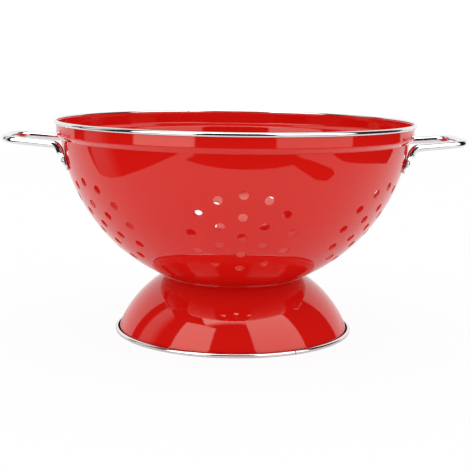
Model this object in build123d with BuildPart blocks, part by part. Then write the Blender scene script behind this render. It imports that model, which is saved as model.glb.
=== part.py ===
from build123d import *
from math import acos, asin, atan2, cos, degrees, radians, sin, sqrt, tan
import os

# Footed colander: a perforated pressed bowl on a flared pressed foot, with a rolled
# steel bead on each edge and two bent rod handles riveted to the wall.
# Millimetres. The origin is the centre of the footprint, +Z up, +X through a handle.

# Overall sizes
rim_radius = 145.0
foot_radius = 96.5
bowl_bottom_height = 34.75
handle_stand_out = 40.0

# Pressed bowl
bowl_wall = 0.9
sphere_centre_above_rim = 3.65
collar_depth = 11.7
shoulder_step = 3.14
shoulder_slope = 45.0
shoulder_top_bend = 2.4
shoulder_foot_bend = 1.6

# Drain holes, in round groups: one hole, then rings round it. Six groups stand round the wall, not
# quite evenly, each with its turn about the axis and its drop below the sphere's centre
hole_diameter = 7.0
hole_ring_spacing = 18.4
hole_ring_counts = (1, 6, 12)
hole_ring_start_angles = (0.0, 30.0, 0.0)
hole_group_angles = (29.3, 88.5, 148.7, 208.9, 270.9, 330.6)
hole_group_drop_angles = (35.4, 35.4, 35.0, 34.9, 35.1, 35.4)

# Pressed foot
foot_wall = 0.9
foot_neck_radius = 56.0
foot_neck_bend = 2.0
foot_dome_radius = 86.0
foot_weld_flange_width = 9.0
foot_seat_gap = 0.05

# Rolled bead on the rim
rim_bead_height = 3.5
rim_bead_stand_out = 2.0
rim_bead_flat = 1.3
rim_bead_overlap = 0.7
rim_flange_gap = 0.8
rim_seam_angle = 106.0

# Rolled bead on the foot
foot_bead_height = 3.5
foot_bead_stand_out = 3.3
foot_bead_flat = 1.9
foot_bead_overlap = 0.6
foot_flange_gap = 1.2
foot_seam_angle = -62.0

# Both beads
bead_fit = 0.05
bead_seam_gap = 0.3

# Handles, bent from round rod and flattened at the ends
rod_diameter = 6.0
handle_end_spread = 55.0
handle_wall_spread = 69.0
handle_corner_radius = 16.0
handle_tilt = 4.5
leg_bend_radius = 7.0
leg_above_rivet = 13.1
rod_below_collar = 3.84
rod_end_straight = 0.3
handle_seat_gap = 0.08
paddle_width = 11.0
paddle_thickness = 2.2
paddle_crown = 0.12
paddle_edge_round = 0.6
paddle_tip_below_rivet = 8.2
paddle_top_above_rivet = 3.3

# Rivets
rivet_shank_diameter = 3.2
rivet_hole_clearance = 0.05
rivet_head_diameter = 6.0
rivet_head_height = 2.0
rivet_head_land = 0.4
rivet_tail_diameter = 5.4
rivet_tail_height = 1.0
rivet_seat_gap = 0.03

# One overrun serves every cut
cut_overrun = 2.0

# The bowl's sphere meets the collar one shoulder step inside it
collar_radius = rim_radius - rim_bead_stand_out
collar_foot_drop = collar_depth + sphere_centre_above_rim
sphere_radius = sqrt((collar_radius - shoulder_step) ** 2 + collar_foot_drop ** 2)
sphere_height = bowl_bottom_height + sphere_radius
sphere_centre = Vector(0, 0, sphere_height)
overall_height = sphere_height - sphere_centre_above_rim

# The edge flanges lie at mid height in their beads
foot_edge_radius = foot_radius - foot_bead_stand_out
rim_flange_radius = rim_radius - rim_flange_gap
rim_flange_top = overall_height - (rim_bead_height - bowl_wall) / 2
rim_flange_foot = rim_flange_top - bowl_wall
foot_flange_radius = foot_radius - foot_flange_gap
foot_flange_foot = (foot_bead_height - foot_wall) / 2
foot_flange_top = foot_flange_foot + foot_wall

# The handle's legs run up the wall to a bend just below the collar, and the rivets lie below it
rod_radius = rod_diameter / 2
leg_reach = sphere_radius + handle_seat_gap + rod_radius
leg_corner_drop = collar_foot_drop + rod_below_collar + rod_radius
wall_lean = degrees(
    atan2(leg_above_rivet, leg_reach) + asin(leg_corner_drop / sqrt(leg_reach ** 2 + leg_above_rivet ** 2))
)


def sphere_point(radius, angle):
    """A point of the sphere's outline, its angle measured from straight down."""
    return (radius * sin(angle), sphere_height - radius * cos(angle))


def meridian_plane(angle):
    """The upright plane through the axis at this angle: local X outward, local Y up."""
    outward = Vector(cos(radians(angle)), sin(radians(angle)), 0)
    return Plane(origin=(0, 0, 0), x_dir=outward, z_dir=outward.cross(Vector(0, 0, 1)))


def wall_plane(angle, drop_angle, gap=0):
    """The plane that touches the bowl's sphere: local X level, local Y up the wall, local Z out."""
    level = Vector(-sin(radians(angle)), cos(radians(angle)), 0)
    out = Vector(
        cos(radians(drop_angle)) * cos(radians(angle)),
        cos(radians(drop_angle)) * sin(radians(angle)),
        -sin(radians(drop_angle)),
    )
    return Plane(origin=sphere_centre + out * (sphere_radius + gap), x_dir=level, z_dir=out)


def drain_hole_planes():
    """One plane per drain hole, square to the sphere and just inside its inner face."""
    groups = [
        wall_plane(angle, drop_angle)
        for angle, drop_angle in zip(hole_group_angles, hole_group_drop_angles)
    ]
    groups.append(wall_plane(0, 90))
    planes = []
    for group in groups:
        for ring, count in enumerate(hole_ring_counts):
            lean = ring * hole_ring_spacing / sphere_radius
            for index in range(count):
                turn = radians(hole_ring_start_angles[ring] + 360 * index / count)
                sideways = group.x_dir * cos(turn) + group.y_dir * sin(turn)
                out = group.z_dir * cos(lean) + sideways * sin(lean)
                start = sphere_centre + out * (sphere_radius - bowl_wall - cut_overrun)
                planes.append(Plane(origin=start, z_dir=out))
    return planes


def rivet_planes(side):
    """The seats of one handle's two ends on the wall, side being 1 on +X and -1 on -X."""
    wall_reach = sphere_radius * cos(radians(wall_lean))
    spread_angle = degrees(asin(handle_wall_spread / 2 / wall_reach))
    middle = 0 if side > 0 else 180
    front = wall_plane(middle - side * spread_angle, wall_lean, handle_seat_gap)
    back = wall_plane(middle + side * spread_angle, wall_lean, handle_seat_gap)
    return [front, back]


# Bowl: the outer face from the axis up to the edge flange, then the wall's thickness inward
collar_foot = (collar_radius, overall_height - collar_depth)
shoulder_fall = shoulder_step * tan(radians(shoulder_slope))
shoulder_foot_angle = acos((collar_foot_drop + shoulder_fall) / sphere_radius)
shoulder_foot = sphere_point(sphere_radius, shoulder_foot_angle)

with BuildPart() as bowl:
    with BuildSketch(Plane.XZ):
        with BuildLine() as bowl_line:
            ThreePointArc(
                sphere_point(sphere_radius, 0),
                sphere_point(sphere_radius, shoulder_foot_angle / 2),
                shoulder_foot,
            )
            Polyline(
                shoulder_foot,
                collar_foot,
                (collar_radius, rim_flange_foot),
                (rim_flange_radius, rim_flange_foot),
            )
            fillet(bowl_line.vertices().sort_by_distance(shoulder_foot)[0], shoulder_foot_bend)
            fillet(bowl_line.vertices().sort_by_distance(collar_foot)[0], shoulder_top_bend)
            offset(amount=bowl_wall, side=Side.LEFT)
        make_face()
    revolve(axis=Axis.Z)
    with Locations(*drain_hole_planes()):
        Cylinder(
            hole_diameter / 2,
            bowl_wall + 2 * cut_overrun,
            align=(Align.CENTER, Align.CENTER, Align.MIN),
            mode=Mode.SUBTRACT,
        )
    with Locations(*rivet_planes(1), *rivet_planes(-1)):
        Cylinder(
            rivet_shank_diameter / 2 + rivet_hole_clearance,
            2 * (bowl_wall + cut_overrun),
            mode=Mode.SUBTRACT,
        )
bowl.part.label = "bowl"

# Foot: a flange that fits under the sphere, a flared dome, and an edge flange
neck_sphere_radius = sphere_radius + foot_seat_gap
neck_angle = asin(foot_neck_radius / neck_sphere_radius)
flange_inner_angle = asin((foot_neck_radius - foot_weld_flange_width) / neck_sphere_radius)
foot_neck = sphere_point(neck_sphere_radius, neck_angle)
foot_edge_top = (foot_edge_radius, foot_bead_height)

with BuildPart() as foot:
    with BuildSketch(Plane.XZ):
        with BuildLine() as foot_line:
            ThreePointArc(
                sphere_point(neck_sphere_radius, flange_inner_angle),
                sphere_point(neck_sphere_radius, (flange_inner_angle + neck_angle) / 2),
                foot_neck,
            )
            RadiusArc(foot_neck, foot_edge_top, foot_dome_radius)
            Polyline(
                foot_edge_top,
                (foot_edge_radius, foot_flange_top),
                (foot_flange_radius, foot_flange_top),
            )
            fillet(foot_line.vertices().sort_by_distance(foot_neck)[0], foot_neck_bend)
            offset(amount=foot_wall, side=Side.RIGHT)
        make_face()
    revolve(axis=Axis.Z)
foot.part.label = "foot"


# Beads: a strip rolled up tight, with a slot for the edge flange that it covers and a butt seam
def bead_slot(inner, outer, low, high):
    """Clear a level band of the section, from one radius to another."""
    with Locations(((inner + outer) / 2, (low + high) / 2)):
        Rectangle(outer - inner, high - low, mode=Mode.SUBTRACT)


def bead_section(inner, outer, low, high, flat):
    """The section of a bead, its corners bevelled as far as leaves this flat on its short sides."""
    bevel = (min(outer - inner, high - low) - flat) / 2
    with Locations(((inner + outer) / 2, (low + high) / 2)):
        block = Rectangle(outer - inner, high - low)
    chamfer(block.vertices(), bevel)


def seam_angle(radius):
    """The angle that the seam's gap takes up at this radius."""
    return degrees(bead_seam_gap / radius)


rim_bead_inner = collar_radius - rim_bead_overlap
with BuildPart() as rim_bead:
    with BuildSketch(meridian_plane(rim_seam_angle)):
        bead_section(
            rim_bead_inner, rim_radius, overall_height - rim_bead_height, overall_height, rim_bead_flat
        )
        bead_slot(
            rim_bead_inner - cut_overrun,
            collar_radius + bead_fit,
            overall_height - rim_bead_height - cut_overrun,
            rim_flange_top + bead_fit,
        )
        bead_slot(
            rim_bead_inner - cut_overrun,
            rim_flange_radius + bead_fit,
            rim_flange_foot - bead_fit,
            rim_flange_top + bead_fit,
        )
    revolve(axis=Axis.Z, revolution_arc=360 - seam_angle(rim_radius))
rim_bead.part.label = "rim_bead"

foot_bead_inner = foot_edge_radius - foot_bead_overlap
with BuildPart() as foot_bead:
    with BuildSketch(meridian_plane(foot_seam_angle)):
        bead_section(foot_bead_inner, foot_radius, 0, foot_bead_height, foot_bead_flat)
        bead_slot(
            foot_bead_inner - cut_overrun,
            foot_edge_radius + bead_fit,
            foot_flange_foot - bead_fit,
            foot_bead_height + cut_overrun,
        )
        bead_slot(
            foot_bead_inner - cut_overrun,
            foot_flange_radius + bead_fit,
            foot_flange_foot - bead_fit,
            foot_flange_top + bead_fit,
        )
    revolve(axis=Axis.Z, revolution_arc=360 - seam_angle(foot_radius))
foot_bead.part.label = "foot_bead"


# Handles: a bent rod loop, then a flattened end on each leg, seated on the wall
def crowned_section(plane, width, thickness, side_inset, crown):
    """A section of four arcs, from a round rod's to a flat one's with crowned faces."""
    half_width = width / 2 - side_inset
    half_thickness = thickness / 2 - crown
    with BuildSketch(plane) as section:
        with BuildLine():
            ThreePointArc(
                (-half_width, half_thickness), (0, thickness / 2), (half_width, half_thickness)
            )
            ThreePointArc(
                (half_width, half_thickness), (width / 2, 0), (half_width, -half_thickness)
            )
            ThreePointArc(
                (half_width, -half_thickness), (0, -thickness / 2), (-half_width, -half_thickness)
            )
            ThreePointArc(
                (-half_width, -half_thickness), (-width / 2, 0), (-half_width, half_thickness)
            )
        make_face()
    return section.sketch.face()


leg_turn = radians(90 - wall_lean - handle_tilt)
rod_end_above_rivet = leg_above_rivet - leg_bend_radius * tan(leg_turn / 2) - rod_end_straight
rod_side_inset = rod_radius * (1 - sin(radians(45)))
front_seat, back_seat = rivet_planes(1)
leg_corner = front_seat.from_local_coords(Vector(0, leg_above_rivet, rod_radius))
bar_reach = rim_radius + handle_stand_out - rod_radius
bar_height = leg_corner.Z + (bar_reach - leg_corner.X) * tan(radians(handle_tilt))
rod_corners = (
    front_seat.from_local_coords(Vector(0, rod_end_above_rivet, rod_radius)),
    leg_corner,
    Vector(bar_reach, -handle_end_spread / 2, bar_height),
    Vector(bar_reach, handle_end_spread / 2, bar_height),
    back_seat.from_local_coords(Vector(0, leg_above_rivet, rod_radius)),
    back_seat.from_local_coords(Vector(0, rod_end_above_rivet, rod_radius)),
)
rod_bends = (leg_bend_radius, handle_corner_radius, handle_corner_radius, leg_bend_radius)
paddle_tip_centre = paddle_width / 2 - paddle_tip_below_rivet

with BuildPart() as handle_right:
    for seat in (front_seat, back_seat):
        with BuildSketch(seat):
            with Locations((0, paddle_tip_centre)):
                Circle(paddle_width / 2)
                Rectangle(
                    paddle_width,
                    paddle_top_above_rivet - paddle_tip_centre,
                    align=(Align.CENTER, Align.MIN),
                )
        extrude(amount=paddle_thickness)
        rim_edges = handle_right.edges(Select.LAST).filter_by(
            lambda edge: abs(edge.tangent_at(0.5).dot(seat.z_dir)) < cos(radians(45))
            and seat.to_local_coords(edge.center()).Y < paddle_top_above_rivet - paddle_edge_round
        )
        fillet(rim_edges, paddle_edge_round)
    with BuildLine() as rod_line:
        FilletPolyline(*rod_corners, radius=list(rod_bends))
    with BuildSketch(Plane(origin=rod_line.line @ 0, z_dir=rod_line.line % 0)):
        Circle(rod_radius)
    sweep(path=rod_line.wire())
    for seat in (front_seat, back_seat):
        flat_end = seat.from_local_coords(Vector(0, paddle_top_above_rivet, paddle_thickness / 2))
        flat_section = crowned_section(
            Plane(origin=flat_end, x_dir=seat.x_dir, z_dir=seat.y_dir),
            paddle_width,
            paddle_thickness,
            paddle_edge_round,
            paddle_crown,
        )
        round_end = seat.from_local_coords(Vector(0, rod_end_above_rivet, rod_radius))
        round_section = crowned_section(
            Plane(origin=round_end, x_dir=seat.x_dir, z_dir=seat.y_dir),
            rod_diameter,
            rod_diameter,
            rod_side_inset,
            rod_side_inset,
        )
        loft([flat_section, round_section])
    with Locations(front_seat, back_seat):
        Cylinder(
            rivet_shank_diameter / 2 + rivet_hole_clearance,
            2 * (paddle_thickness + cut_overrun),
            mode=Mode.SUBTRACT,
        )
handle_right.part.label = "handle_right"

with BuildPart() as handle_left:
    mirror(handle_right.part, about=Plane.YZ)
handle_left.part.label = "handle_left"

# Rivets: a domed head outside, a shank through the handle and the wall, a clinched tail inside
rivet_places = {
    "rivet_right_front": rivet_planes(1)[0],
    "rivet_right_back": rivet_planes(1)[1],
    "rivet_left_front": rivet_planes(-1)[0],
    "rivet_left_back": rivet_planes(-1)[1],
}
head_foot = paddle_thickness + rivet_seat_gap
tail_foot = -(handle_seat_gap + bowl_wall + rivet_seat_gap)


def cap_radius(reach, height):
    """The radius of the sphere that a cap of this size is cut from."""
    return (reach ** 2 + height ** 2) / (2 * height)


rivets = []
for name, seat in rivet_places.items():
    head_reach = rivet_head_diameter / 2
    tail_reach = rivet_tail_diameter / 2
    dome_height = rivet_head_height - rivet_head_land
    with BuildPart() as rivet:
        with BuildSketch(Plane(origin=seat.origin, x_dir=seat.x_dir, z_dir=-seat.y_dir)):
            with BuildLine():
                RadiusArc(
                    (0, head_foot + rivet_head_height),
                    (head_reach, head_foot + rivet_head_land),
                    cap_radius(head_reach, dome_height),
                )
                Polyline(
                    (head_reach, head_foot + rivet_head_land),
                    (head_reach, head_foot),
                    (rivet_shank_diameter / 2, head_foot),
                    (rivet_shank_diameter / 2, tail_foot),
                    (tail_reach, tail_foot),
                )
                RadiusArc(
                    (tail_reach, tail_foot),
                    (0, tail_foot - rivet_tail_height),
                    cap_radius(tail_reach, rivet_tail_height),
                )
                Line((0, tail_foot - rivet_tail_height), (0, head_foot + rivet_head_height))
            make_face()
        revolve(axis=Axis(seat.origin, seat.z_dir))
    rivet.part.label = name
    rivets.append(rivet.part)

os.makedirs("parts", exist_ok=True)
pieces = [bowl.part, rim_bead.part, foot.part, foot_bead.part, handle_right.part, handle_left.part]
for piece in pieces + rivets:
    export_step(piece, "parts/" + piece.label + ".step")
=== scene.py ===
"""Footed colander: its looks, built round the packed CAD frame.

Every new piece is a surface worked out with numpy in the frame's own place and size, in metres:
the perforated bowl, the flared foot, the two rolled beads, the two rod handles and the four
rivets. The finishes are procedural, and the stage is a plain white table in soft light.
"""
import math
from functools import reduce

import bpy
import numpy as np
from mathutils import Matrix, Vector
from mathutils.geometry import delaunay_2d_cdt


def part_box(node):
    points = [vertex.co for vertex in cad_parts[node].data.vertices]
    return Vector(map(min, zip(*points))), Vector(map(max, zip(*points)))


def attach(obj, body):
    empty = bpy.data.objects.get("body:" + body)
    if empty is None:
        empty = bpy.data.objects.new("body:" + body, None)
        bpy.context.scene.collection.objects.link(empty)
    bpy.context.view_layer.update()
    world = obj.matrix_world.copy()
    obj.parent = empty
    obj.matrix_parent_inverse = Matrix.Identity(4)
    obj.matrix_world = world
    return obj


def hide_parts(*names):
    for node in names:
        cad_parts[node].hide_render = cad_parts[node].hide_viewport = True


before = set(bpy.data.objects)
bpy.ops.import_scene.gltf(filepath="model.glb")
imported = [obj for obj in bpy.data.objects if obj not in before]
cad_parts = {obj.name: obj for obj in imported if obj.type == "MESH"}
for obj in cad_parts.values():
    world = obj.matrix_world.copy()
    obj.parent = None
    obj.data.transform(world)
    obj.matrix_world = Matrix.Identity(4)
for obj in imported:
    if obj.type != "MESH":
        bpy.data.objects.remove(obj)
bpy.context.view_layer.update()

bl_info = {
    "name": "Footed Colander",
    "version": (1, 0, 0),
    "blender": (4, 5, 0),
    "location": "View3D > Sidebar > Colander",
    "description": "Builds an enamelled footed colander round its CAD frame",
    "category": "Add Mesh",
}

BODY = "root"

# Places read from the frame
RIM_LOW, RIM_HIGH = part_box("rim_bead")
BASE_LOW, BASE_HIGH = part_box("foot_bead")
BOWL_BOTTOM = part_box("bowl")[0][2]
HANDLE_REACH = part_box("handle_right")[1][0]
RIM_RADIUS, TOP = RIM_HIGH[0], RIM_HIGH[2]
BASE_RADIUS = BASE_HIGH[0]
RIM_BEAD_HEIGHT = RIM_HIGH[2] - RIM_LOW[2]
BASE_BEAD_HEIGHT = BASE_HIGH[2] - BASE_LOW[2]


def length(name, description, default):
    """A length property in metres."""
    return bpy.props.FloatProperty(
        name=name, description=description, default=default, unit="LENGTH", precision=5
    )


def angle(name, description, degrees):
    """An angle property, given in degrees and kept in radians."""
    return bpy.props.FloatProperty(
        name=name, description=description, default=math.radians(degrees), subtype="ANGLE"
    )


def colour(name, description, default):
    """A linear colour property."""
    return bpy.props.FloatVectorProperty(
        name=name, description=description, default=default, subtype="COLOR", size=3, min=0, max=1
    )


class BowlSizes(bpy.types.PropertyGroup):
    """Sizes of the pressed and perforated bowl."""

    wall: length("Wall", "Thickness of the enamelled sheet", 0.0009)
    centre_above_rim: length("Centre above rim", "How far the sphere's centre lies above the rim", 0.00365)
    collar_depth: length("Collar depth", "Height of the straight collar under the rim", 0.0117)
    shoulder_step: length("Shoulder step", "How far the shoulder drops below the collar", 0.00314)
    shoulder_top_bend: length("Shoulder top bend", "Outer bend where collar meets shoulder", 0.0024)
    shoulder_foot_bend: length("Shoulder foot bend", "Outer bend where shoulder meets sphere", 0.0016)
    hole: length("Hole", "Diameter of a drain hole", 0.007)
    hole_spacing: length("Hole spacing", "Distance from one ring of holes to the next", 0.0184)
    hole_lip: length("Hole lip", "Rounding of a hole's edge", 0.0003)


class FootSizes(bpy.types.PropertyGroup):
    """Sizes of the flared foot."""

    wall: length("Wall", "Thickness of the enamelled sheet", 0.0009)
    neck: length("Neck radius", "Where the foot's outer face meets the bowl", 0.056)
    neck_bend: length("Neck bend", "Outer bend of the sheet at the neck", 0.002)
    # Where the foot's crevice beside its roll is painted dark: painted shade, together with the bare dark
    # steel of the sheet's edge
    shade_start: length("Shade start", "How far inside the drop the dark of the crevice starts", 0.0001)
    shade_depth: length("Shade depth", "How far below the roll's top the crevice is fully dark", 0.0008)
    enamel_run: length("Enamel run", "Hollow that the enamel makes round the joint with the bowl", 0.0005)
    dome: length("Dome radius", "Radius of the flare's bulge", 0.086)
    weld_flange: length("Weld flange", "Width of the flange under the bowl", 0.009)
    seat_gap: length("Seat gap", "Gap between the flange and the bowl", 0.00005)


class BeadSizes(bpy.types.PropertyGroup):
    """Sizes of the two rolled steel beads."""

    rim_stand_out: length("Rim stand-out", "How far the rim's bead stands out past the collar", 0.002)
    rim_overlap: length("Rim overlap", "How far the rim's bead reaches over the wall", 0.0007)
    rim_flange_gap: length("Rim flange gap", "From the edge flange to the bead's outside", 0.0008)
    rim_flat: length("Rim flat", "Flat left on the rim bead's outside", 0.0001)
    rim_inner_bend: length("Rim inner bend", "Rounding of the rim bead's edge beside the wall", 0.00008)
    rim_crevice: length("Rim crevice", "Gap between the rim bead's edge and the wall", 0.0002)
    base_stand_out: length("Foot stand-out", "How far the foot's bead stands out past the foot", 0.0033)
    base_overlap: length("Foot overlap", "How far the foot's bead reaches over the wall", 0.0006)
    base_flange_gap: length("Foot flange gap", "From the edge flange to the bead's outside", 0.0012)
    base_flat: length("Foot flat", "Flat left on the foot bead's outside", 0.0003)
    base_inner_bend: length("Foot inner bend", "Rounding of the foot bead's edge beside the wall", 0.0004)
    base_crevice: length("Foot crevice", "Gap between the foot bead's edge and the wall", 0.0012)
    fit: length("Fit", "Gap between a bead and the flange in its slot", 0.00005)
    seam: length("Seam", "Width of the butt seam", 0.0003)
    seam_round: length("Seam rounding", "Rounding of the strip's cut ends", 0.00015)
    rim_seam_at: angle("Rim seam", "Direction of the rim bead's seam", 106)
    base_seam_at: angle("Foot seam", "Direction of the foot bead's seam", -62)


class HandleSizes(bpy.types.PropertyGroup):
    """Sizes of the bent rod handles and their rivets."""

    rod: length("Rod", "Diameter of the rod", 0.006)
    end_spread: length("End spread", "Distance between the legs at the bar", 0.055)
    wall_spread: length("Wall spread", "Distance between the rivets of a handle", 0.069)
    corner: length("Corner", "Bend radius at the bar's ends", 0.016)
    tilt: angle("Tilt", "Rise of the legs towards the bar", 4.5)
    leg_bend: length("Leg bend", "Bend radius where a leg turns down the wall", 0.007)
    leg_above_rivet: length("Leg above rivet", "From a rivet up to the leg's corner", 0.0131)
    below_collar: length("Below collar", "From the collar's foot down to the rod", 0.00384)
    rod_end_straight: length("Rod end straight", "Straight rod left below the leg's bend", 0.0003)
    seat_gap: length("Seat gap", "Gap between the flattened end and the wall", 0.00008)
    paddle_width: length("Paddle width", "Width of the flattened end", 0.011)
    paddle_thickness: length("Paddle thickness", "Thickness of the flattened end", 0.0022)
    paddle_round: length("Paddle rounding", "Rounding of the flattened end's edge", 0.0006)
    paddle_tip: length("Paddle tip", "From a rivet down to the tip", 0.0082)
    paddle_top: length("Paddle top", "From a rivet up to where the flat begins to swell", 0.0033)
    shank: length("Rivet shank", "Diameter of a rivet's shank", 0.0032)
    head: length("Rivet head", "Diameter of a rivet's head", 0.006)
    head_height: length("Head height", "Height of a rivet's head", 0.002)
    head_land: length("Head land", "Straight side of a rivet's head", 0.0004)
    tail: length("Rivet tail", "Diameter of a rivet's clinched tail", 0.0054)
    tail_height: length("Tail height", "Height of a rivet's clinched tail", 0.001)
    rivet_gap: length("Rivet gap", "Gap under a rivet's head and tail", 0.00003)


class Finishes(bpy.types.PropertyGroup):
    """Colours of the finishes."""

    enamel: colour("Enamel", "Red of the enamel", (0.68, 0.0078, 0.0048))
    enamel_deep: colour("Enamel, deep", "Red where the coat is thick or thin", (0.56, 0.0046, 0.0034))
    # Painted shade down beside the foot's roll, together with the bare dark steel of the sheet's edge there
    crevice: colour("Crevice", "Soot-dark enamel down beside the foot's roll", (0.03, 0.003, 0.003))
    chrome: colour("Chrome", "Handles and rivets", (0.86, 0.865, 0.88))
    steel: colour("Steel", "Rolled beads", (0.83, 0.825, 0.82))


class StageSizes(bpy.types.PropertyGroup):
    """The camera's place and lens."""

    distance: length("Camera distance", "From the object's axis, along the ground", 0.90884)
    height: length("Camera height", "Above the table", 0.2259)
    turn: angle("Camera turn", "To the right of straight on", -1.98)
    pitch: angle("Camera pitch", "Below level", 9.255)
    roll: angle("Camera roll", "Turn about the line of sight", 0.78)
    lens: bpy.props.FloatProperty(name="Lens", description="Focal length in millimetres", default=86.15)
    shift: bpy.props.FloatProperty(name="Shift", description="Sideways shift of the frame", default=0.0024)


GROUPS = {
    "colander_bowl": BowlSizes,
    "colander_foot": FootSizes,
    "colander_beads": BeadSizes,
    "colander_handles": HandleSizes,
    "colander_finishes": Finishes,
    "colander_stage": StageSizes,
}


# Outlines and surfaces

def ring_turns(steps):
    """Even angles round a full circle, the last one a step short of the first."""
    return np.linspace(0, 2 * math.pi, steps, endpoint=False)


def round_about(first, second, turn):
    """Directions at those angles round an axis, from two directions square to it."""
    return first * np.cos(turn) + second * np.sin(turn)


def arc(centre, radius, start, stop, count):
    """Points of a circle: its centre plus the radius times the cosine and sine of even angles."""
    turn = np.linspace(start, stop, count)
    return np.stack([centre[0] + radius * np.cos(turn), centre[1] + radius * np.sin(turn)], axis=1)


def fillet_line(corners, bends, steps):
    """A chain of straight runs whose inner corners are arcs tangent to both runs.

    At a corner that turns by an angle, the arc begins and ends its radius times the tangent of
    half that angle away, and its middle lies on the corner's inside at right angles to the runs.
    steps is the number of points of an arc, or a list of them.
    """
    corners = np.asarray(corners, float)
    counts = np.broadcast_to(steps, len(bends))
    pieces = [corners[:1]]
    for before, corner, after, bend, count in zip(corners, corners[1:], corners[2:], bends, counts):
        back = (before - corner) / np.linalg.norm(before - corner)
        ahead = (after - corner) / np.linalg.norm(after - corner)
        half_inside = math.acos(np.clip(back @ ahead, -1, 1)) / 2
        inward = (back + ahead) / np.linalg.norm(back + ahead)
        middle = corner + inward * bend / math.sin(half_inside)
        first = corner + back * bend / math.tan(half_inside) - middle
        sweep = np.linspace(0, math.pi - 2 * half_inside, count)[:, None]
        across = -back * bend
        pieces.append(middle + first * np.cos(sweep) + across * np.sin(sweep))
    pieces.append(corners[-1:])
    return np.concatenate(pieces)


def outline_normals(points):
    """Unit normals to the right of an outline's direction, each from the two runs beside it."""
    run = np.gradient(points, axis=0)
    right = np.stack([run[:, 1], -run[:, 0]], axis=1)
    return right / np.linalg.norm(right, axis=1, keepdims=True)


def inside_corner(corner, first_side, second_side, wall):
    """Where two runs parallel to a corner's own meet, a wall's thickness inside: the corner less
    the wall times the sum of the runs' unit normals over one plus their dot product."""
    first_side, second_side = np.asarray(first_side), np.asarray(second_side)
    return np.asarray(corner) - wall * (first_side + second_side) / (1 + first_side @ second_side)


def circles_meet(first, first_radius, second, second_radius):
    """The meeting point of two circles that lies to the right of the line between their centres."""
    first, second = np.asarray(first, float), np.asarray(second, float)
    apart = second - first
    distance = np.linalg.norm(apart)
    along_line = (first_radius ** 2 - second_radius ** 2 + distance ** 2) / (2 * distance)
    aside = math.sqrt(first_radius ** 2 - along_line ** 2)
    unit = apart / distance
    return first + unit * along_line + np.array([unit[1], -unit[0]]) * aside


def distance_along(points):
    """Each point's distance from the first one, measured along the line."""
    return np.concatenate([[0], np.cumsum(np.linalg.norm(np.diff(points, axis=0), axis=1))])


def spun(profile, turns):
    """A profile of (radius, height) carried round the axis: radius times cosine and sine, height."""
    reach = profile[:, 0][:, None]
    height = np.broadcast_to(profile[:, 1][:, None], (len(profile), len(turns)))
    return np.stack([reach * np.cos(turns)[None, :], reach * np.sin(turns)[None, :], height], axis=2)


def ring_quads(numbers):
    """Corner numbers of the quads between neighbouring closed rings, given the rings' point numbers."""
    here, there = numbers[..., :-1, :], numbers[..., 1:, :]
    corners = [here, np.roll(here, -1, axis=-1), np.roll(there, -1, axis=-1), there]
    return np.stack(corners, axis=-1).reshape(-1, 4)


def grid_quads(rows, columns, close_rows=False):
    """Quads of a grid whose rows are closed rings. close_rows joins the last ring to the first."""
    numbers = np.arange(rows * columns).reshape(rows, columns)
    return ring_quads(np.concatenate([numbers, numbers[:1]]) if close_rows else numbers)


def end_caps(rows, columns):
    """One face over each end of a grid of closed rings."""
    return [np.arange(columns)[None, ::-1], (rows - 1) * columns + np.arange(columns)[None]]


def add_piece(
    name, points, faces, material, nodes, caps=(), normals=None, uv=None, masks=None
):
    """Puts points and faces into a new mesh that stands for the named CAD nodes.

    faces is a list of arrays, each with as many columns as its faces have corners, and caps holds
    more of them that stay flat. normals and uv have a row for each point, and masks holds named
    arrays with a value for each point.
    """
    smooth = np.repeat([True, False], [sum(map(len, faces)), sum(map(len, caps))])
    faces = [*faces, *caps]
    mesh = bpy.data.meshes.new(name)
    mesh.vertices.add(len(points))
    mesh.vertices.foreach_set("co", np.asarray(points, np.float32).ravel())
    corners = np.concatenate([group.ravel() for group in faces]).astype(np.int32)
    sizes = np.concatenate([np.full(len(group), group.shape[1]) for group in faces])
    mesh.loops.add(len(corners))
    mesh.loops.foreach_set("vertex_index", corners)
    mesh.polygons.add(len(sizes))
    mesh.polygons.foreach_set("loop_start", (np.cumsum(sizes) - sizes).astype(np.int32))
    mesh.polygons.foreach_set("use_smooth", smooth)
    if uv is not None:
        layer = mesh.uv_layers.new(name="along")
        layer.data.foreach_set("uv", np.asarray(uv, np.float32)[corners].ravel())
    for mask, values in (masks or {}).items():
        attribute = mesh.attributes.new(mask, "FLOAT", "POINT")
        attribute.data.foreach_set("value", np.asarray(values, np.float32))
    mesh.update(calc_edges=True)
    mesh.validate()
    if normals is not None:
        mesh.normals_split_custom_set_from_vertices(np.asarray(normals, float).tolist())
    mesh.materials.append(material)
    piece = bpy.data.objects.new(name, mesh)
    bpy.context.collection.objects.link(piece)
    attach(piece, BODY)
    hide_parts(*nodes)
    return piece


# The bowl's sphere and its seats

def bowl_sphere(bowl):
    """Radius of the bowl's outer sphere and height of its centre."""
    centre = TOP + bowl.centre_above_rim
    return centre - BOWL_BOTTOM, centre


def wall_seat(turn, drop, reach, centre):
    """Origin, level, uphill and outward directions of the plane that touches a sphere there."""
    level = np.array([-math.sin(turn), math.cos(turn), 0.0])
    out = np.array([math.cos(drop) * math.cos(turn), math.cos(drop) * math.sin(turn), -math.sin(drop)])
    return np.array([0, 0, centre]) + out * reach, level, np.cross(out, level), out


def leg_lean(bowl, handles):
    """How far below level, seen from the sphere's centre, the rivets lie."""
    rod_radius = handles.rod / 2
    reach = bowl_sphere(bowl)[0] + handles.seat_gap + rod_radius
    drop = bowl.collar_depth + bowl.centre_above_rim + handles.below_collar + rod_radius
    leg = handles.leg_above_rivet
    return math.atan2(leg, reach) + math.asin(drop / math.hypot(reach, leg))


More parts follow.
